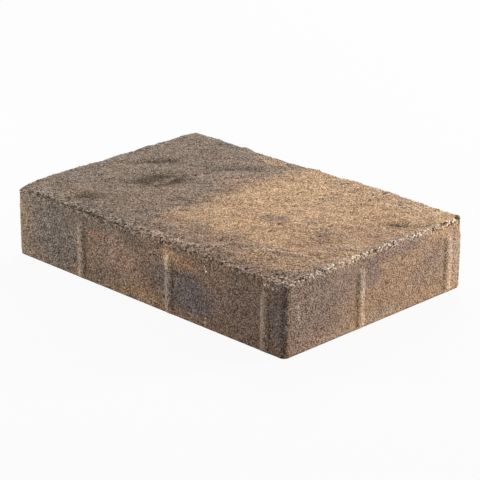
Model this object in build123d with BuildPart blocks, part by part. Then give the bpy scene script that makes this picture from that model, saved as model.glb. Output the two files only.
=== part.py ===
"""Concrete paver: a dry-cast block with spacer nibs on its sides and an uneven, stone-like wearing face.

The bed face lies on Z = 0, the long sides run along X and the wearing face looks up.
Lengths are in millimetres.
"""

import os
from collections import namedtuple
from math import cos, exp, radians, sin

from build123d import *

# Block
length = 302.0
width = 200.0
face_height = 59.4
corner_radius = 4.5
arris_radius = 2.2

# Spacer nibs: half-round ribs that rise from the bed and end in a rounded tip below the wearing face.
# Seen from outside, each side's row starts near its right-hand corner and goes left at one pitch.
# The insets, on the long sides and on the ends, are from the end of the corner's round, and the drop
# is from the wearing face to the nib's tip.
side_nib_inset = 15.3
end_nib_inset = 12.0
nib_pitch = 101.6
nib_proud = 1.5
nib_base = 9.4
nib_drop = 11.0

# Wearing face: swells on a level plane. Each one has its centre as shares of the half-length and
# half-width, its half-sizes along and across its own direction, that direction's turn from X in
# degrees, and its rise, negative for a hollow.
Swell = namedtuple("Swell", "x y along across turn rise")
swells = {
    "deep_hollow": Swell(x=-0.54, y=-0.04, along=17, across=9, turn=52, rise=-2.0),
    "front_hollow": Swell(x=-0.60, y=-0.78, along=13, across=9, turn=40, rise=-1.2),
    "left_hollow": Swell(x=-0.74, y=0.24, along=18, across=9, turn=48, rise=-1.0),
    "back_valley": Swell(x=-0.36, y=0.55, along=26, across=9, turn=45, rise=-1.3),
    "back_ridge": Swell(x=-0.29, y=0.33, along=32, across=10, turn=35, rise=0.6),
    "left_ridge": Swell(x=-0.48, y=-0.52, along=28, across=9, turn=50, rise=0.6),
    "front_ridge": Swell(x=0.28, y=-0.84, along=34, across=9, turn=0, rise=0.5),
    "front_shelf": Swell(x=0.72, y=-0.82, along=40, across=26, turn=18, rise=-1.3),
    "back_dip": Swell(x=-0.38, y=1.00, along=28, across=14, turn=0, rise=-1.1),
    "back_rise": Swell(x=0.33, y=1.00, along=26, across=14, turn=0, rise=0.4),
    "back_corner_dip": Swell(x=0.85, y=1.00, along=18, across=14, turn=0, rise=-0.7),
    "right_dip": Swell(x=0.86, y=0.48, along=16, across=9, turn=40, rise=-0.8),
    "worn_corner": Swell(x=-1.00, y=-1.00, along=20, across=20, turn=0, rise=-2.6),
    "front_shoulder": Swell(x=0.05, y=-1.00, along=190, across=9, turn=0, rise=-2.2),
    "corner_chip": Swell(x=0.92, y=-0.92, along=9, across=9, turn=45, rise=-1.8),
}
# Spacing of the points that carry the wearing face, as a share of the narrowest swell's half-size.
step_share = 0.8


def face_z(x, y):
    """Height of the wearing face above the bed at a point of the plan."""
    height = face_height
    for swell in swells.values():
        turn = radians(swell.turn)
        from_x = x - swell.x * length / 2
        from_y = y - swell.y * width / 2
        along = from_x * cos(turn) + from_y * sin(turn)
        across = from_y * cos(turn) - from_x * sin(turn)
        height += swell.rise * exp(-((along / swell.along) ** 2) - (across / swell.across) ** 2)
    return height


def stations(span):
    """Evenly spaced places that cover a span of the plan and go one step past both ends."""
    step = step_share * min(swell.across for swell in swells.values())
    count = round(span / step)
    return [(i / count - 0.5) * span for i in range(-1, count + 2)]


def nib_spots(span, inset):
    """Centres of the nibs along a side, measured from its middle towards its right-hand corner."""
    first = span / 2 - corner_radius - inset
    last_place = nib_base / 2 + corner_radius - span / 2
    return [first - i * nib_pitch for i in range(int((first - last_place) // nib_pitch) + 1)]


# The four sides as planes, seen from outside with X to the right and Y up, each with its span and inset.
side_planes = [
    (Plane((0, -width / 2, 0), x_dir=(1, 0, 0), z_dir=(0, -1, 0)), length, side_nib_inset),
    (Plane((length / 2, 0, 0), x_dir=(0, 1, 0), z_dir=(1, 0, 0)), width, end_nib_inset),
    (Plane((0, width / 2, 0), x_dir=(-1, 0, 0), z_dir=(0, 1, 0)), length, side_nib_inset),
    (Plane((-length / 2, 0, 0), x_dir=(0, -1, 0), z_dir=(-1, 0, 0)), width, end_nib_inset),
]

nib_radius = (nib_base**2 / 4 + nib_proud**2) / (2 * nib_proud)
nib_height = face_height - nib_drop - nib_base / 2
nib_feet = [
    side.from_local_coords(Vector(spot, 0, nib_proud - nib_radius))
    for side, span, inset in side_planes
    for spot in nib_spots(span, inset)
]

blank_height = face_height + sum(max(swell.rise, 0) for swell in swells.values())
wearing_face = Face.make_surface_from_array_of_points(
    [[Vector(x, y, face_z(x, y)) for x in stations(length)] for y in stations(width)]
)

with BuildPart() as paver:
    with BuildSketch() as plan:
        RectangleRounded(length, width, corner_radius)
    extrude(amount=blank_height)

    # The waved wearing face trims the blank.
    extrude(wearing_face, amount=blank_height, dir=(0, 0, 1), mode=Mode.SUBTRACT)
    arrises = paver.faces().filter_by(GeomType.BSPLINE).sort_by(SortBy.AREA)[-1].edges()
    fillet(arrises, radius=arris_radius)

    # Each nib is what stands out of the side from a round bar with a ball end.
    with Locations(*nib_feet):
        Cylinder(nib_radius, nib_height, align=(Align.CENTER, Align.CENTER, Align.MIN))
    with Locations(*[foot + Vector(0, 0, nib_height) for foot in nib_feet]):
        Sphere(nib_radius)

paver.part.label = "paver"
os.makedirs("parts", exist_ok=True)
export_step(paver.part, "parts/paver.step")

box = paver.part.bounding_box()
print("size", box.size, "lowest", round(box.min.Z, 3), "volume", round(paver.part.volume))
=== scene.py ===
from collections import namedtuple
from math import cos, radians, sin

import bpy
import numpy as np
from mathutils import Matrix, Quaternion, Vector


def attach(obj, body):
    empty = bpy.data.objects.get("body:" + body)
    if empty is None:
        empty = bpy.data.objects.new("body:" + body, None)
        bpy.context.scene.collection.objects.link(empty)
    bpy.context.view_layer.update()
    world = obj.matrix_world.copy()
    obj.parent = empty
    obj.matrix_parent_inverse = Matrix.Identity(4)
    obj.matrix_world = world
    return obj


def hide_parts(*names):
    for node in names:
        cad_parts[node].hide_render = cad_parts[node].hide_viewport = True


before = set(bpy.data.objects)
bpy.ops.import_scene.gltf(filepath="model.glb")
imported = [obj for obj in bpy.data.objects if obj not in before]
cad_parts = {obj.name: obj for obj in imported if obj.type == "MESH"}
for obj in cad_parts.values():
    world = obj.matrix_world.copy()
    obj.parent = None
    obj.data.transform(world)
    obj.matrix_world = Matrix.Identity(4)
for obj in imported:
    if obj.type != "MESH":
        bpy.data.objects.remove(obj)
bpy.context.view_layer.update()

# The paver's blank: a block of dry-cast concrete as it leaves its steel mould, with a rounded-rectangle
# plan and plain faces. Its grid is closest at the arrises and across the spacer nibs, where the cast
# surface turns sharply. Lengths are in millimetres until the mesh is made.
MM = 0.001
length = 302.0
width = 200.0
face_height = 59.4
corner_radius = 4.5
half = np.array([length / 2, width / 2])

side_nib_inset = 19.8
end_nib_inset = 16.5
nib_pitch = 101.6
nib_base = 9.4

open_step = 1.36
nib_step = 0.85
edge_step = 0.62
edge_reach = 5.0


def grid_lines(low, high, edges, nibs=()):
    """Places of the grid lines along one direction, closer near the given edges and nibs."""
    place = np.linspace(low, high, 6001)
    step = np.full_like(place, open_step)
    for nib in nibs:
        step[abs(place - nib) < nib_base * 0.6] = nib_step
    for edge in edges:
        step[abs(place - edge) < edge_reach] = edge_step
    count = np.concatenate([[0.0], np.cumsum(np.diff(place) / step[1:])])
    return np.interp(np.linspace(0, count[-1], round(count[-1]) + 1), count, place)


def nib_places(span, inset):
    """Centres of the nibs on two opposite sides of that span: the rows mirror each other."""
    row = np.arange(span / 2 - inset, -span / 2, -nib_pitch)
    return [*row, *-row]


def rounded(plan):
    """Plan points of a square-cornered rectangle, moved so that its corners are round."""
    core = np.clip(plan, corner_radius - half, half - corner_radius)
    out = (plan - core) / corner_radius
    return core + corner_radius * out * np.sqrt(1 - out[:, ::-1] ** 2 / 2)


x_lines = grid_lines(-half[0], half[0], (-half[0], half[0]), nib_places(length, side_nib_inset))
y_lines = grid_lines(-half[1], half[1], (-half[1], half[1]), nib_places(width, end_nib_inset))
z_lines = grid_lines(0, face_height, (face_height,))[::-1]
columns = len(x_lines)
rows = len(y_lines)

top_index = np.arange(columns * rows).reshape(rows, columns)
rim = np.concatenate([top_index[0, :-1], top_index[:-1, -1], top_index[-1, :0:-1], top_index[:0:-1, 0]])
top_plan = rounded(np.stack(np.meshgrid(x_lines, y_lines), -1).reshape(-1, 2))
points = [np.column_stack([top_plan, np.full(len(top_plan), face_height)])]
top_quads = [top_index[:-1, :-1], top_index[:-1, 1:], top_index[1:, 1:], top_index[1:, :-1]]
faces = [np.stack(top_quads, -1).reshape(-1, 4)]
upper = rim
for level, z in enumerate(z_lines[1:]):
    lower = columns * rows + level * len(rim) + np.arange(len(rim))
    points.append(np.column_stack([top_plan[rim], np.full(len(rim), z)]))
    faces.append(np.stack([upper, lower, np.roll(lower, -1), np.roll(upper, -1)], -1))
    upper = lower
blank = bpy.data.meshes.new("blank")
blank.from_pydata(np.concatenate(points) * MM, [], [*np.concatenate(faces).tolist(), upper[::-1].tolist()])
# The last face is the flat bed.
smooth = np.ones(len(blank.polygons), bool)
smooth[-1] = False
blank.polygons.foreach_set("use_smooth", smooth)

# The cast surface: the uneven wearing face that the mould's top plate presses in, the arrises that crumble
# when the block is stripped, the spacer nibs of the mould's sides, and the grain and pores of dry concrete.
# One geometry tree shapes the blank by these rules.


class Field:
    """A value, colour or vector in a node tree. Sums and products of fields add the nodes for them."""

    def __init__(self, tree, socket=None):
        self.tree = tree
        self.socket = socket

    def node(self, kind, settings=None, sockets=None, out=0):
        """Adds a node: its settings first, then the values or links of its sockets."""
        new = self.tree.nodes.new(kind)
        for name, value in (settings or {}).items():
            setattr(new, name, value)
        for name, value in (sockets or {}).items():
            if isinstance(value, Field):
                self.tree.links.new(value.socket, new.inputs[name])
            else:
                new.inputs[name].default_value = value
        return Field(self.tree, new.outputs[out])

    def maths(self, operation, *others):
        """This value and others through a Math node."""
        return self.node("ShaderNodeMath", {"operation": operation}, dict(enumerate((self, *others))))

    def vector(self, operation, *others, out=0):
        """This vector and others through a Vector Math node."""
        sockets = dict(enumerate((self, *others)))
        return self.node("ShaderNodeVectorMath", {"operation": operation}, sockets, out)

    def measure(self, operation, *others):
        """The value that a Vector Math node gives for this vector and others."""
        return self.vector(operation, *others, out=1)

    def scaled(self, factor):
        return self.node("ShaderNodeVectorMath", {"operation": "SCALE"}, {0: self, "Scale": factor})

    def __add__(self, other):
        return self.maths("ADD", other)

    def __sub__(self, other):
        return self.maths("SUBTRACT", other)

    def __rsub__(self, other):
        return self.maths("MULTIPLY_ADD", -1.0, other)

    def __mul__(self, other):
        return self.maths("MULTIPLY", other)

    def __truediv__(self, other):
        return self.maths("DIVIDE", other)

    def __rtruediv__(self, other):
        return self.node("ShaderNodeMath", {"operation": "DIVIDE"}, {0: other, 1: self})

    def __neg__(self):
        return self.maths("MULTIPLY", -1.0)

    def __abs__(self):
        return self.maths("ABSOLUTE")

    __radd__ = __add__
    __rmul__ = __mul__

    def at_least(self, other):
        return self.maths("MAXIMUM", other)

    def at_most(self, other):
        return self.maths("MINIMUM", other)

    def step(self, low, high):
        """0 below low, 1 above high and a smooth rise between them; high may be the lower one."""
        if low > high:
            return 1 - self.step(high, low)
        settings = {"interpolation_type": "SMOOTHSTEP"}
        return self.node("ShaderNodeMapRange", settings, {"Value": self, "From Min": low, "From Max": high})

    def parts(self):
        """The X, Y and Z of a vector."""
        split = self.node("ShaderNodeSeparateXYZ", None, {0: self})
        return [Field(self.tree, socket) for socket in split.socket.node.outputs]

    def noise(self, size, detail=2.0, rough=0.5, colour=False, seed=0.0):
        """Noise on this place, with lumps of that size, about its middle value of 0.5."""
        sockets = {"Vector": self, "W": seed, "Scale": 1 / size, "Detail": detail, "Roughness": rough}
        settings = {"noise_dimensions": "4D"}
        return self.node("ShaderNodeTexNoise", settings, sockets, out=1 if colour else 0)

    def cells(self, size, seed=0.0):
        """Voronoi cells of that size on this place: the distance from a cell's centre, and its own pick."""
        shift = self.node("ShaderNodeCombineXYZ", None, {"X": seed * 50, "Y": seed * 20, "Z": seed * 30})
        sockets = {"Vector": self.vector("ADD", shift), "Scale": 1 / size}
        distance = self.node("ShaderNodeTexVoronoi", None, sockets)
        colour = Field(self.tree, distance.socket.node.outputs["Color"])
        return distance, colour.parts()[0]

    def slanted(self, squeeze):
        """This place turned to the wearing face's slant and squeezed, which draws noise out along it."""
        sockets = {"Vector": self, "Angle": radians(-45)}
        turned = self.node("ShaderNodeVectorRotate", {"rotation_type": "Z_AXIS"}, sockets)
        return turned.vector("MULTIPLY", (squeeze, 1, 1))


# Swells of the wearing face have their centres as shares of the half-length and half-width.
Swell = namedtuple("Swell", "x y along across turn rise")
swells = {
    "deep_hollow": Swell(x=-0.54, y=-0.04, along=17, across=9, turn=52, rise=-2.0),
    "front_hollow": Swell(x=-0.60, y=-0.78, along=13, across=9, turn=40, rise=-1.2),
    "left_hollow": Swell(x=-0.74, y=0.24, along=18, across=9, turn=48, rise=-1.0),
    "back_valley": Swell(x=-0.36, y=0.55, along=26, across=9, turn=45, rise=-1.3),
    "back_ridge": Swell(x=-0.29, y=0.33, along=32, across=10, turn=35, rise=0.6),
    "left_ridge": Swell(x=-0.48, y=-0.52, along=28, across=9, turn=50, rise=0.6),
    "front_ridge": Swell(x=0.28, y=-0.84, along=34, across=9, turn=0, rise=0.5),
    "front_shelf": Swell(x=0.72, y=-0.82, along=40, across=26, turn=18, rise=-1.3),
    "back_dip": Swell(x=-0.38, y=1.00, along=28, across=14, turn=0, rise=-1.1),
    "back_rise": Swell(x=0.33, y=1.00, along=26, across=14, turn=0, rise=0.4),
    "back_corner_dip": Swell(x=0.85, y=1.00, along=18, across=14, turn=0, rise=-0.7),
    "right_dip": Swell(x=0.86, y=0.48, along=16, across=9, turn=40, rise=-0.8),
    "worn_corner": Swell(x=-1.00, y=-1.00, along=20, across=20, turn=0, rise=-2.6),
    "front_shoulder": Swell(x=0.05, y=-1.00, along=190, across=9, turn=0, rise=-2.2),
    "corner_chip": Swell(x=0.92, y=-0.92, along=9, across=9, turn=45, rise=-1.8),
}
# How much dirt and painted shade lies in each of these hollows: a share of 1 nearly covers the concrete.
dirt_and_shade_shares = {
    "deep_hollow": 0.7,
    "front_hollow": 1.0,
    "left_hollow": 0.6,
    "back_valley": 0.15,
    "right_dip": 0.5,
    "corner_chip": 0.6,
}

# Furrows are narrow hollows that lie slantwise like the swells. Their places are in millimetres.
Furrow = namedtuple("Furrow", "x y along across turn deep")
furrows = [
    Furrow(x=-76, y=-15, along=14, across=7, turn=52, deep=1.6),
    Furrow(x=-79, y=27, along=12, across=4, turn=50, deep=0.35),
    Furrow(x=-96, y=-35, along=13, across=5, turn=60, deep=0.6),
    Furrow(x=-113, y=23, along=13, across=3.5, turn=45, deep=0.8),
    Furrow(x=-46, y=64, along=9, across=4, turn=55, deep=0.4),
    Furrow(x=-61, y=46, along=12, across=3.5, turn=58, deep=0.5),
    Furrow(x=-89, y=-80, along=8, across=5, turn=50, deep=0.6),
    Furrow(x=-17, y=-25, along=10, across=4, turn=59, deep=0.7),
    Furrow(x=-19, y=14, along=10, across=5, turn=70, deep=0.5),
    Furrow(x=-48, y=82, along=10, across=3, turn=35, deep=0.3),
    Furrow(x=54, y=-8, along=7, across=3, turn=50, deep=0.4),
    Furrow(x=94, y=10, along=4, across=2.5, turn=50, deep=0.5),
    Furrow(x=103, y=-8, along=7, across=2.5, turn=60, deep=0.5),
    Furrow(x=69, y=-30, along=5, across=2.5, turn=55, deep=0.5),
    Furrow(x=127, y=49, along=14, across=2.4, turn=30, deep=0.8),
]
# Low waves of the hidden back and left edges, which show in the outline: a negative depth is a rise.
edge_waves = [
    Furrow(x=20, y=98, along=140, across=9, turn=0, deep=-0.35),
    Furrow(x=-118, y=98, along=18, across=12, turn=0, deep=-0.5),
    Furrow(x=-85, y=98, along=7, across=10, turn=0, deep=-1.4),
    Furrow(x=-55, y=98, along=6, across=10, turn=0, deep=-0.6),
    Furrow(x=-27, y=98, along=8, across=10, turn=0, deep=0.5),
    Furrow(x=0, y=98, along=7, across=10, turn=0, deep=-0.8),
    Furrow(x=40, y=98, along=12, across=10, turn=0, deep=-0.6),
    Furrow(x=72, y=98, along=14, across=10, turn=0, deep=-0.8),
    Furrow(x=82, y=98, along=8, across=10, turn=0, deep=-0.9),
    Furrow(x=102, y=98, along=9, across=10, turn=0, deep=-0.7),
    Furrow(x=129, y=98, along=8, across=10, turn=0, deep=-0.5),
    Furrow(x=-149, y=-57, along=10, across=6, turn=0, deep=-0.5),
    Furrow(x=-149, y=-20, along=10, across=12, turn=0, deep=0.4),
    Furrow(x=-149, y=41, along=10, across=6, turn=0, deep=-0.7),
]
# More dirt and painted shade lie in the deep hollow: here the depth is its share.
hollow_dirt_and_shade = Furrow(x=-78, y=-10, along=14, across=11, turn=50, deep=2.6)
# Pits where grains have fallen out: place and radius.
pits = [
    (-66, 18, 3.0), (-63, 28, 2.8), (-94, -50, 2.8), (-121, -37, 2.2), (-120, 15, 2.6),
    (-37, -2, 2.2), (19, 51, 1.8), (44, 58, 1.8), (69, -32, 1.6), (94, 9, 1.8),
    (103, -12, 1.8), (135, 37, 2.0), (70, 86, 1.8), (17, 47, 1.6),
]
# The brow is a low pale ridge at the front right of the wearing face, through these points.
brow_height = 0.8
brow = [
    (6, -94), (12, -95), (30, -93.5), (47, -93.5), (58, -89), (62, -83), (64, -74), (69, -66),
    (76, -63), (85, -63), (93, -61), (102, -58), (112, -54), (125, -50), (139, -50),
]
# The right back corner has a small notch, and a point left standing beside it.
notch_place = (149.5, 94.5, 0)
notch_depth = 1.6
point_place = (151, 100, 0)
# A crack runs under the front lip between these places.
crack_left = -146
crack_right = -20
# Lumps of the rock relief and of the grain, and the pores' spacing
rock_size = 11
grain_size = 4
pore_spacing = 6.5

inputs = {
    "Nib proud": 1.5,
    "Nib height": 43.7,
    "Nib foot wear": 3.0,
    "Arris radius": 2.2,
    "Rock relief": 3.4,
    "Grain relief": 0.35,
    "Crumb size": 2.0,
    "Crumb relief": 1.8,
    "Lip crack depth": 0.8,
    "Pore depth": 1.0,
    "Seed": 4.0,
}
tree = bpy.data.node_groups.new("cast_surface", "GeometryNodeTree")
tree.interface.new_socket("Geometry", in_out="INPUT", socket_type="NodeSocketGeometry")
sockets = {
    name: tree.interface.new_socket(name, in_out="INPUT", socket_type="NodeSocketFloat")
    for name in inputs
}
concrete_socket = tree.interface.new_socket("Concrete", in_out="INPUT", socket_type="NodeSocketMaterial")
tree.interface.new_socket("Geometry", in_out="OUTPUT", socket_type="NodeSocketGeometry")
entry = tree.nodes.new("NodeGroupInput")
given = {socket.name: Field(tree, socket) for socket in entry.outputs}
geo = Field(tree)
seed = given["Seed"]

place = geo.node("GeometryNodeInputPosition").scaled(1 / MM)
x, y, z = place.parts()


def bell(spot, x, y, form):
    """1 at a swell's or furrow's centre, falling to nothing around it."""
    turn = radians(form.turn)
    from_centre = spot.vector("SUBTRACT", (x, y, 0))
    along = from_centre.measure("DOT_PRODUCT", (cos(turn) / form.along, sin(turn) / form.along, 0))
    across = from_centre.measure("DOT_PRODUCT", (-sin(turn) / form.across, cos(turn) / form.across, 0))
    return (-(along * along + across * across)).maths("EXPONENT")


def near_line(spot, corners):
    """Distance in plan from a line through these points."""
    nearest = None
    for start, end in zip(corners, corners[1:]):
        run = Vector((*end, 0)) - Vector((*start, 0))
        from_start = spot.vector("SUBTRACT", (*start, 0))
        share = from_start.measure("DOT_PRODUCT", tuple(run / run.length_squared)).at_least(0).at_most(1)
        on_line = geo.node("ShaderNodeCombineXYZ", None, {"X": share * run.x, "Y": share * run.y})
        distance = from_start.measure("DISTANCE", on_line)
        nearest = distance if nearest is None else nearest.at_most(distance)
    return nearest


plan = geo.node("ShaderNodeCombineXYZ", None, {"X": x, "Y": y})
wander = plan.noise(22, colour=True, seed=seed).vector("SUBTRACT", (0.5, 0.5, 0.5))

# Wearing face
bells = {name: bell(plan, s.x * length / 2, s.y * width / 2, s) for name, s in swells.items()}
wave = sum(bells[name] * swell.rise for name, swell in swells.items())
crooked = plan.vector("ADD", wander.vector("MULTIPLY", (5, 5, 0)))
furrow = sum(bell(crooked, f.x, f.y, f) * f.deep for f in furrows)
edge_wave = sum(bell(plan, f.x, f.y, f) * f.deep for f in edge_waves)
brow_wear = plan.noise(14, 2, seed=seed + 8.0).step(0.36, 0.56)
brow_rise = near_line(crooked, brow).step(4.2, 0.6) * (0.3 + brow_wear * 0.7)
near_top = z.step(52, 57)
notch = plan.measure("DISTANCE", notch_place).step(3.6, 1.2) * near_top
corner_point = plan.measure("DISTANCE", point_place).step(4.5, 1.5) * near_top
wave = wave - furrow - edge_wave + brow_rise * brow_height - notch * notch_depth + corner_point

# Arrises: the plan's distance from the rounded core and the height bend round a radius that varies.
core = plan.vector("MAXIMUM", (*(corner_radius - half), 0))
core = core.vector("MINIMUM", (*(half - corner_radius), 0))
out = plan.vector("SUBTRACT", core)
reach = out.measure("LENGTH")
outward = out.vector("NORMALIZE")
out_x, out_y, _ = outward.parts()
front = (-out_y).step(0.5, 0.9)
ragged = plan.noise(7, 3, 0.6, seed=seed + 1.0).step(0.3, 0.7)
radius = given["Arris radius"] * (0.5 + ragged * 0.6 + front * 0.4)
radius = radius.at_most(corner_radius * 0.95)
bend = geo.node("ShaderNodeCombineXYZ", None, {"X": reach, "Z": z})
pivot = geo.node("ShaderNodeCombineXYZ", None, {"X": corner_radius - radius, "Z": face_height - radius})
pivot = bend.vector("MINIMUM", pivot)
facing = bend.vector("SUBTRACT", pivot).vector("NORMALIZE")
facing_out, _, facing_up = facing.parts()
bent_reach, _, bent_height = facing.scaled(radius).vector("ADD", pivot).parts()
flat_top = facing_up.step(0.3, 0.9)

# Nibs: seen from outside, each side's row starts near its right-hand corner. A nib is what stands out
# of the side from a round bar with a ball end, and its foot is worn.
side_x = -out_y
side_y = out_x
from_corner = abs(side_x) * (half[0] - side_nib_inset) + abs(side_y) * (half[1] - end_nib_inset)
from_corner = from_corner - x * side_x - y * side_y
from_nib = abs(from_corner.maths("WRAP", nib_pitch / 2, -nib_pitch / 2))
proud = given["Nib proud"]
bar_radius = (nib_base ** 2 / 4 + proud * proud) / (proud * 2)
past_end = (z - given["Nib height"]).at_least(0)
bar = (bar_radius * bar_radius - from_nib * from_nib - past_end * past_end).at_least(0).maths("SQRT")
nib_rise = (bar - bar_radius + proud).at_least(0)
nib = nib_rise / proud
nib_wear = 0.85 + place.noise(5, 2, seed=seed + 2.0) * 0.3
nib_rise = nib_rise * nib_wear * (0.2 + (z / given["Nib foot wear"]).at_most(1) * 0.8)

# Rock relief lies slantwise on the wearing face. Grain and pores are everywhere, and coarse crumbs stand
# along the arrises, down the front shoulder and on the floors of the deep and front hollows.
rock = place.slanted(0.5).noise(rock_size, 4, 0.55, seed=seed + 3.0) - 0.5
grain = (place.noise(grain_size, 1, 0.5, seed=seed + 4.0) - 0.5) * (0.3 + flat_top * 0.7)
pore_reach, pore_pick = place.cells(pore_spacing, seed=seed + 5.0)
pore = pore_reach.step(0.26, 0.08) * pore_pick.step(0.72, 0.8)
pit = sum(plan.measure("DISTANCE", (px, py, 0)).step(size, size * 0.4) for px, py, size in pits) * flat_top
shoulder = y.step(-85, -95) * flat_top * (0.5 + ragged * 0.5) * (1 - brow_rise * 0.7)
under_lip = facing_out * (near_top * front).at_least(z.step(53.5, 57)) * (0.2 + ragged * 0.7)
rough_floor = bells["deep_hollow"].at_least(bells["front_hollow"] * 0.6) * flat_top * 0.7
rim_band = reach.step(0.8, 3.2) * flat_top * (0.3 + ragged * 0.7)
edge_near = (facing_up * facing_out * 2).at_least(shoulder).at_least(rim_band)
edge_near = edge_near.at_least(bells["corner_chip"] * near_top).at_least(under_lip).at_least(rough_floor)
crumb_reach, _ = place.scaled(1 / given["Crumb size"]).cells(1, seed=seed + 6.0)
crumb = (0.5 - crumb_reach) * edge_near
lip_height = face_height - 2.6 + plan.noise(14, 2, seed=seed + 9.0) * 2.2 - 1.1
lip_crack = abs(z - lip_height).step(0.65, 0.15) * front
lip_crack = lip_crack * x.step(crack_right, crack_right - 15) * x.step(crack_left, crack_left + 8)
lip_crack = lip_crack * plan.noise(9, 2, seed=seed + 10.0).step(0.25, 0.45)
bed_edge = z.step(3, 0)
bed_chips = (place.noise(6, 3, seed=seed + 7.0) - 0.62).at_least(0) * bed_edge * 4

relief = (rock * given["Rock relief"] * flat_top
          + grain * given["Grain relief"]
          + crumb * given["Crumb relief"]
          - (pore + pit) * given["Pore depth"]
          - lip_crack * given["Lip crack depth"]
          - bed_chips)
relief = relief * z.step(0, 1.5).at_least(facing_out)

height = (bent_height * (1 + wave / face_height)) + facing_up * relief
side_out = bent_reach + facing_out * (relief + nib_rise)
moved = core.vector("ADD", outward.scaled(side_out))
moved = moved.vector("ADD", geo.node("ShaderNodeCombineXYZ", None, {"Z": height})).scaled(MM)

shape = geo.node("GeometryNodeSetPosition", None, {"Geometry": given["Geometry"], "Position": moved})
# Dirt and painted shade in the hollows.
dirt_and_shade = sum(bells[name] * share for name, share in dirt_and_shade_shares.items())
dirt_and_shade = dirt_and_shade + bell(crooked, hollow_dirt_and_shade.x, hollow_dirt_and_shade.y, hollow_dirt_and_shade) * hollow_dirt_and_shade.deep
# The hollow value darkens pores, pits, the lip crack, the notch and the hollows: dirt, and painted shade in
# these recesses.
stored_values = {
    "hollow": pore + pit * 1.2 + lip_crack * 1.1 + notch * 0.5 + (dirt_and_shade + furrow * 0.8) * flat_top,
    "edge": edge_near,
    "crumb": crumb,
    "brow": brow_rise * flat_top,
    "nib": nib,
    "lift": rock * flat_top,
}
for name, value in stored_values.items():
    settings = {"data_type": "FLOAT", "domain": "POINT"}
    kept = {"Geometry": shape, "Name": name, "Value": value}
    shape = geo.node("GeometryNodeStoreNamedAttribute", settings, kept)
shape = geo.node("GeometryNodeRealizeInstances", None, {"Geometry": shape})
shape = geo.node("GeometryNodeSetMaterial", None, {"Geometry": shape, "Material": given["Concrete"]})
leave = tree.nodes.new("NodeGroupOutput")
tree.links.new(shape.socket, leave.inputs[0])

# Concrete: sand and small stone in a cement coloured with iron oxides. Charcoal and tan batches are half
# mixed before they are pressed, so the colours lie in clouds that run through the block.
concrete = bpy.data.materials.new("mottled_concrete")
concrete.use_nodes = True
concrete.node_tree.nodes.clear()
mix_tree = Field(concrete.node_tree)

charcoal = (0.246, 0.184, 0.137, 1)
soot = (0.165, 0.131, 0.113, 1)
grey = (0.225, 0.185, 0.155, 1)
slate = (0.200, 0.164, 0.157, 1)
olive = (0.320, 0.230, 0.155, 1)
brown = (0.335, 0.211, 0.136, 1)
rust = (0.420, 0.235, 0.145, 1)
ochre = (0.495, 0.298, 0.162, 1)
mauve = (0.318, 0.223, 0.178, 1)
pink = (0.425, 0.272, 0.190, 1)
tan = (0.545, 0.350, 0.205, 1)
gold = (0.600, 0.388, 0.228, 1)
cream_and_highlight = (0.680, 0.540, 0.410, 1)
lime_and_highlight = (0.560, 0.460, 0.355, 1)
grime_and_painted_shade = (0.075, 0.050, 0.029, 1)

# Sizes of the grains, in millimetres
sand_size = 0.9
stone_size = 1.3
grit_size = 1.3
dark_spot_size = 1.8

spot = mix_tree.node("ShaderNodeTexCoord", None, None, out="Object").scaled(1 / MM)
drift = spot.noise(24, 4, 0.65, colour=True).vector("SUBTRACT", (0.5, 0.5, 0.5))
cloud = spot.vector("ADD", drift.scaled(30))
cloud_x, cloud_y, _ = cloud.parts()
scatter = spot.noise(4, 3, 0.7, seed=3.0) - 0.5


def blend(share, under, over):
    """A colour laid over another by that share."""
    return mix_tree.node("ShaderNodeMix", {"data_type": "RGBA"}, {0: share, 6: under, 7: over}, out=2)


def patch(centre, size):
    """1 inside a cloud of colour around a centre, fading to nothing at its size, with a grainy edge."""
    away = cloud.vector("SUBTRACT", centre).vector("DIVIDE", size).measure("LENGTH")
    return (away + scatter * 0.7).step(1.15, 0.3)


# Half-mixed batches: charcoal at the left, tan at the right and brown along the right of the front
tan_share = (cloud_x + scatter * 40).step(-34, 8) * (cloud_y + scatter * 30).step(-80, -42)
colour = blend(tan_share, charcoal, tan)
brown_share = (cloud_x + scatter * 40).step(-30, 25) * (cloud_y + scatter * 30).step(-45, -72)
colour = blend(brown_share * 0.85, colour, brown)

# Slantwise blotches, strongest on the wearing face
blotch = spot.slanted(0.55).noise(10, 4, 0.6, seed=7.0)
spot_x, _, spot_z = spot.parts()
on_top = 0.4 + spot_z.step(50, 56) * 0.6
dark_blotch = blotch.step(0.5, 0.68) * on_top * (0.6 + tan_share * 0.2)
colour = blend(dark_blotch, colour, blend(tan_share, soot, brown))
fair_blotch = blotch.step(0.48, 0.32) * on_top * 0.35
colour = blend(fair_blotch, colour, blend(tan_share, olive, gold))

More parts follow.
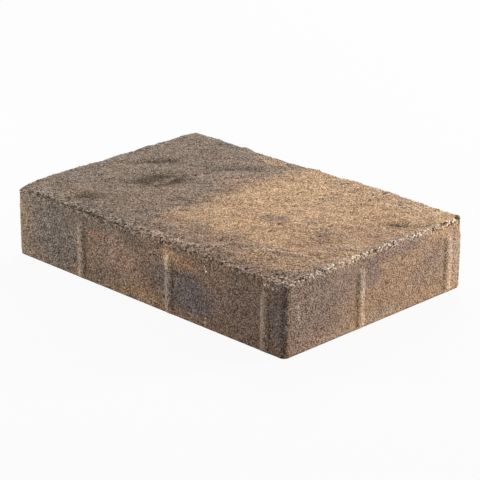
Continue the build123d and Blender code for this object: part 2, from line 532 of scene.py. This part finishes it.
# Clouds of one pigment: centre and half-sizes in millimetres, and the share of it that lies over the rest.
Patch = namedtuple("Patch", "pigment centre size share")
patches = [
    # Wearing face
    Patch(gold, (25, 35, 59), (70, 62, 30), 0.6),
    Patch(brown, (125, 0, 59), (45, 55, 20), 0.32),
    Patch(soot, (104, -6, 59), (16, 14, 12), 0.3),
    Patch(slate, (54, -7, 59), (13, 10, 10), 0.35),
    Patch(mauve, (54, 50, 59), (14, 11, 10), 0.35),
    Patch(mauve, (77, 8, 59), (12, 9, 10), 0.4),
    Patch(slate, (129, -27, 59), (14, 10, 10), 0.2),
    Patch(brown, (27, -17, 59), (14, 9, 10), 0.5),
    Patch(brown, (81, -17, 59), (14, 9, 10), 0.55),
    Patch(brown, (122, -36, 59), (20, 9, 16), 0.4),
    Patch(mauve, (54, 62, 59), (14, 9, 8), 0.3),
    Patch(cream_and_highlight, (136, -14, 59), (9, 8, 16), 0.22),
    Patch(cream_and_highlight, (136, 66, 59), (9, 10, 16), 0.2),
    Patch(cream_and_highlight, (27, 88, 59), (16, 10, 10), 0.2),
    Patch(pink, (36, -88, 58), (26, 7, 6), 0.2),
    Patch(soot, (108, -90, 57), (16, 7, 7), 0.3),
    Patch(cream_and_highlight, (90, 90, 59), (65, 14, 14), 0.2),
    Patch(tan, (112, -70, 59), (50, 18, 15), 0.5),
    Patch(tan, (-47, 93, 59), (20, 9, 12), 0.65),
    Patch(rust, (-36, 93, 59), (7, 8, 10), 0.4),
    Patch(pink, (-38, 34, 59), (20, 12, 8), 0.3),
    Patch(brown, (-19, 15, 59), (16, 14, 10), 0.5),
    Patch(rust, (-21, 20, 59), (12, 12, 10), 0.3),
    Patch(rust, (0, -65, 59), (18, 11, 10), 0.3),
    Patch(mauve, (-59, 25, 59), (13, 10, 8), 0.6),
    Patch(mauve, (-54, 5, 59), (14, 12, 16), 0.45),
    Patch(brown, (-79, 27, 59), (14, 10, 16), 0.3),
    Patch(brown, (-81, 65, 59), (16, 12, 16), 0.25),
    Patch(soot, (-27, -33, 59), (14, 12, 16), 0.25),
    Patch(soot, (-27, 3, 59), (12, 9, 16), 0.25),
    Patch(soot, (-135, -92, 57), (10, 7, 8), 0.5),
    Patch(brown, (-48, 80, 59), (14, 9, 10), 0.4),
    Patch(brown, (-100, -75, 59), (25, 18, 10), 0.35),
    Patch(brown, (-50, -40, 59), (30, 40, 15), 0.35),
    # Front
    Patch(grey, (-106, -100, 30), (34, 18, 30), 0.7),
    Patch(olive, (-147, -100, 30), (15, 16, 36), 0.85),
    Patch(olive, (-128, -100, 2), (22, 10, 8), 0.6),
    Patch(rust, (-150, -98, 50), (7, 9, 9), 0.45),
    Patch(rust, (-55, -100, 44), (13, 9, 7), 0.5),
    Patch(brown, (-62, -100, 24), (18, 12, 24), 0.6),
    Patch(pink, (-26, -100, 28), (30, 14, 25), 0.8),
    Patch(ochre, (-15, -100, 24), (8, 8, 18), 0.3),
    Patch(ochre, (-20, -100, 4), (42, 12, 8), 0.45),
    Patch(ochre, (2, -100, 9), (18, 11, 11), 0.55),
    Patch(ochre, (-76, -100, 2), (13, 10, 6), 0.6),
    Patch(grey, (20, -100, 34), (12, 10, 18), 0.75),
    Patch(ochre, (40, -100, 3), (26, 10, 7), 0.6),
    Patch(slate, (53, -100, 21), (37, 14, 21), 0.9),
    Patch(mauve, (97, -100, 26), (28, 11, 27), 0.5),
    Patch(rust, (48, -100, 45), (19, 9, 8), 0.75),
    Patch(grey, (30, -102, 20), (8, 6, 24), 0.6),
    Patch(gold, (30, -102, 47), (10, 10, 10), 0.85),
    Patch(ochre, (43, -100, 46), (14, 9, 7), 0.5),
    Patch(brown, (100, -100, 28), (18, 11, 26), 0.2),
    Patch(soot, (118, -100, 28), (42, 12, 40), 0.4),
    Patch(soot, (100, -100, 53), (32, 10, 7), 0.3),
    Patch(soot, (146, -101, 30), (12, 9, 46), 0.95),
    # Back
    Patch(brown, (80, 102, 20), (95, 12, 32), 0.75),
    Patch(mauve, (15, 102, 30), (40, 12, 26), 0.6),
    # Right end
    Patch(brown, (151, 30, 20), (14, 66, 50), 0.3),
    Patch(mauve, (151, 30, 20), (14, 66, 50), 0.25),
    Patch(mauve, (151, -62, 32), (22, 52, 48), 0.85),
    Patch(mauve, (151, 5, 52), (9, 66, 11), 0.8),
    Patch(pink, (151, -66, 5), (15, 34, 14), 0.7),
    # A pale streak by the near corner: pale wear and a painted highlight.
    Patch(cream_and_highlight, (151, -86, 32), (9, 5, 13), 0.35),
    Patch(cream_and_highlight, (151, -20, 3), (9, 80, 9), 0.22),
    Patch(slate, (151, -5, 38), (12, 15, 15), 0.6),
    Patch(mauve, (151, 43, 52), (11, 12, 11), 0.7),
    Patch(mauve, (151, 50, 22), (11, 15, 10), 0.5),
    Patch(mauve, (151, 67, 32), (10, 17, 22), 0.75),
    Patch(mauve, (151, -27, 38), (10, 16, 18), 0.6),
    Patch(ochre, (151, -23, 8), (8, 5, 10), 0.7),
    Patch(mauve, (151, 93, 30), (9, 16, 44), 0.5),
    Patch(cream_and_highlight, (151, 97, 30), (9, 13, 44), 0.28),
]
for p in patches:
    colour = blend(patch(p.centre, p.size) * p.share, colour, p.pigment)

# Pale flecks of lime and stone: place and radius.
flecks = [
    (70, -100, 46, 2.3), (68.5, -100, 48.5, 2.0), (69, -100, 4, 1.8), (69, -100, 8, 1.4),
    (131, -100, 53, 2.0), (134, -100, 53.5, 1.6), (139, -100, 52, 1.6), (143, -100, 52.5, 1.8),
    (-134, -100, 5.5, 1.8), (-36, 95, 60, 2.5),
]
pale_fleck = sum(spot.measure("DISTANCE", centre).step(size, size * 0.4) for *centre, size in flecks)


def stored(name):
    """What the cast surface stored at each point."""
    return mix_tree.node("ShaderNodeAttribute", {"attribute_name": name}, None, out=2)


# Dirt and painted shade in the hollows, and pale crumbs, partly painted highlight, with dark gaps of painted
# shade along the edges
hollow = stored("hollow").at_least(0) * (0.65 + spot.noise(3, 2, seed=9.0).step(0.35, 0.65) * 0.5)
edge = stored("edge").at_least(0).at_most(1)
crumb_lift = stored("crumb")
lift = stored("lift")
nib_share = stored("nib")
# The brow is pale; nib crests are rubbed paler and also carry a painted highlight, here and in the tone
# below.
colour = blend((stored("brow") * 0.35).at_least(nib_share * 0.2), colour, cream_and_highlight)
grit_reach, grit_pick = spot.cells(grit_size, seed=8.0)
grit = 0.5 - grit_reach
# Pale crumbs and grit along the edges, most at the right end: pale stone, and a painted highlight where they
# catch the light.
pale_grit = grit.step(0.0, 0.2) * grit_pick.step(0.5, 0.6) * edge
pale_share = 0.05 + spot_x.step(-60, 60) * 0.15 + spot_x.step(125, 145) * 0.6
pale_crumb = crumb_lift.step(0.0, 0.2).at_least(pale_grit) * pale_share
colour = blend(pale_crumb, colour, lime_and_highlight)
# Dark gaps between crumbs and grit are painted shade, and the hollows take dirt and painted shade.
gap = crumb_lift.step(-0.02, -0.2).at_least(grit.step(-0.05, -0.2) * edge * 0.7)
colour = blend((hollow.at_most(1) * 0.9).at_least(gap * 0.65), colour, grime_and_painted_shade)
colour = blend(pale_fleck * 0.85, colour, cream_and_highlight)

# Sand, with some pale and some dark stones in it
sand = spot.noise(sand_size, 0, seed=12.0).step(0.3, 0.7)
stone_reach, stone_pick = spot.cells(stone_size, seed=5.0)
stones = stone_reach.step(0.52, 0.3)
speck = (sand - 0.5) * 1.3 + stones * (stone_pick.step(0.7, 0.78) * 1.5 - stone_pick.step(0.3, 0.22) * 0.7)
speck = speck * (1.1 - tan_share * 0.25) * (0.75 + on_top * 0.25)
mottle = spot.noise(8, 1, 0.5) - 0.5
clear_of_dirt_and_shade = 1 - hollow.at_most(1)
# The tone follows the rock relief, with painted light on its rises and painted shade in its lows, and is
# lighter on the nib crests as painted highlight.
tone = 0.875 + speck + mottle * 0.4 + lift * 0.8 + nib_share * 0.2
# Crumb and grit tops are lighter and their lows darker, and the edges lighter away from the hollows: paler
# wear, painted highlight and painted shade.
rough = (crumb_lift * 3.6 + grit * edge * 3.8) * (0.5 + clear_of_dirt_and_shade * 0.5)
tone = (tone + rough + edge * clear_of_dirt_and_shade * 0.6).at_most(2.4)
dark_reach, dark_pick = spot.cells(dark_spot_size, seed=2.0)
dark_spot = dark_reach.step(0.4, 0.25) * dark_pick.step(0.82, 0.88)
tone = tone.at_least(0.12) * (1 - dark_spot * 0.35)
# Dark grains are the warmer ones and pale grains the greyer, and the cement's hue drifts in small clouds.
hue = spot.noise(9, 3, 0.6, colour=True, seed=11.0).vector("SUBTRACT", (0.5, 0.5, 0.5))
hue_x, hue_y, _ = hue.parts()
warm = tone.maths("POWER", 0.87) * (1 + hue_x * 0.12)
fair = tone * (1 + hue_y * 0.08)
cool = tone.maths("POWER", 1.12) * (1 - hue_x * 0.15)
tint = mix_tree.node("ShaderNodeCombineXYZ", None, {"X": warm, "Y": fair, "Z": cool})
multiply = {"data_type": "RGBA", "blend_type": "MULTIPLY"}
colour = mix_tree.node("ShaderNodeMix", multiply, {0: 1.0, 6: colour, 7: tint}, out=2)

bump_height = sand * 0.15 - stone_reach * on_top * 0.3 - dark_spot * 0.3
bump = mix_tree.node("ShaderNodeBump", None, {"Strength": 1.0, "Distance": MM, "Height": bump_height})
surface = mix_tree.node("ShaderNodeBsdfPrincipled", None, {
    "Base Color": colour, "Roughness": 0.83 + sand * 0.1, "Specular IOR Level": 0.15, "Normal": bump})
finish = concrete.node_tree.nodes.new("ShaderNodeOutputMaterial")
concrete.node_tree.links.new(surface.socket, finish.inputs["Surface"])

# The blank goes through the tree once, and what comes out is kept as a plain mesh.
casting = bpy.data.objects.new("casting", blank)
bpy.context.scene.collection.objects.link(casting)
modifier = casting.modifiers.new("cast_surface", "NODES")
modifier.node_group = tree
for name, value in inputs.items():
    modifier[sockets[name].identifier] = value
modifier[concrete_socket.identifier] = concrete
depsgraph = bpy.context.evaluated_depsgraph_get()
cast_mesh = bpy.data.meshes.new_from_object(casting.evaluated_get(depsgraph))
casting.modifiers.remove(modifier)
bpy.data.objects.remove(casting)
cast_mesh.name = "cast_paver"
paver = bpy.data.objects.new("cast_paver", cast_mesh)
bpy.context.scene.collection.objects.link(paver)
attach(paver, "root")
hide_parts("paver")

# Studio: a white floor that keeps a faint shadow, and soft boxes behind and at both sides, so that the
# wearing face is brightest and the nibs throw their shadows towards the near corner.
scene = bpy.context.scene
scene.view_settings.view_transform = "Standard"

floor_mesh = bpy.data.meshes.new("floor")
floor_reach = 6.0
floor_mesh.from_pydata([(-floor_reach, -floor_reach, 0), (floor_reach, -floor_reach, 0),
                        (floor_reach, floor_reach, 0), (-floor_reach, floor_reach, 0)], [], [(0, 1, 2, 3)])
floor = bpy.data.objects.new("floor", floor_mesh)
scene.collection.objects.link(floor)
white_sweep = bpy.data.materials.new("white_sweep")
white_sweep.use_nodes = True
white_sweep.node_tree.nodes.clear()
sweep = Field(white_sweep.node_tree)
white = (1, 1, 1, 1)
floor_grey = (0.6, 0.6, 0.6, 1)
floor_glow = 0.93


def seen_by_camera(field):
    """1 for the camera's rays, straight or by way of gloss or glass, and 0 for the block's own light."""
    rays = field.node("ShaderNodeLightPath").socket.node.outputs
    seen = Field(field.tree, rays["Is Camera Ray"]).at_least(Field(field.tree, rays["Is Glossy Ray"]))
    return seen.at_least(Field(field.tree, rays["Is Transmission Ray"]))


matt = sweep.node("ShaderNodeBsdfDiffuse", None, {"Color": floor_grey})
lit = sweep.node("ShaderNodeEmission", None, {"Color": white, "Strength": 1.0})
sweep_mix = sweep.node("ShaderNodeMixShader", None, {0: seen_by_camera(sweep) * floor_glow, 1: matt, 2: lit})
sweep_end = white_sweep.node_tree.nodes.new("ShaderNodeOutputMaterial")
white_sweep.node_tree.links.new(sweep_mix.socket, sweep_end.inputs["Surface"])
floor_mesh.materials.append(white_sweep)

world = bpy.data.worlds.new("studio")
scene.world = world
world.use_nodes = True
world.node_tree.nodes.clear()
air = Field(world.node_tree)
ambient = 0.26
air_strength = ambient + seen_by_camera(air) * (1 - ambient)
glow = air.node("ShaderNodeBackground", None, {"Color": white, "Strength": air_strength})
world_end = world.node_tree.nodes.new("ShaderNodeOutputWorld")
world.node_tree.links.new(glow.socket, world_end.inputs["Surface"])

SoftBox = namedtuple("SoftBox", "place aim size watts")
soft_boxes = {
    "back_box": SoftBox(place=(-0.9, 1.2, 1.2), aim=(0, 0, 0.03), size=0.8, watts=20.0),
    "left_box": SoftBox(place=(-0.75, -0.38, 0.2), aim=(-0.1, -0.1, 0.03), size=0.45, watts=6.5),
    "right_box": SoftBox(place=(0.75, 1.1, 0.42), aim=(0, 0, 0.03), size=0.5, watts=21.0),
}
for name, box in soft_boxes.items():
    lamp = bpy.data.lights.new(name, "AREA")
    lamp.energy = box.watts
    lamp.size = box.size
    stand = bpy.data.objects.new(name, lamp)
    stand.location = box.place
    stand.rotation_mode = "QUATERNION"
    stand.rotation_quaternion = (Vector(box.aim) - Vector(box.place)).to_track_quat("-Z", "Y")
    scene.collection.objects.link(stand)

# Camera: a long lens, a little above the block, with the near corner right of the middle. The angles and
# the distance come from a fit to the block's own edges.
azimuth = radians(45.0)
elevation = radians(20.827)
roll = radians(0.149)
distance = 1542.4 * MM
target = Vector((11.88, -6.24, 30.0)) * MM
back = Vector((sin(azimuth) * cos(elevation), -cos(azimuth) * cos(elevation), sin(elevation)))
lens = bpy.data.cameras.new("long_lens")
lens.sensor_width = 36.0
lens.lens = 145.41
camera = bpy.data.objects.new("camera", lens)
camera.location = target + back * distance
camera.rotation_mode = "QUATERNION"
camera.rotation_quaternion = (-back).to_track_quat("-Z", "Y") @ Quaternion((0, 0, 1), roll)
scene.collection.objects.link(camera)
scene.camera = camera
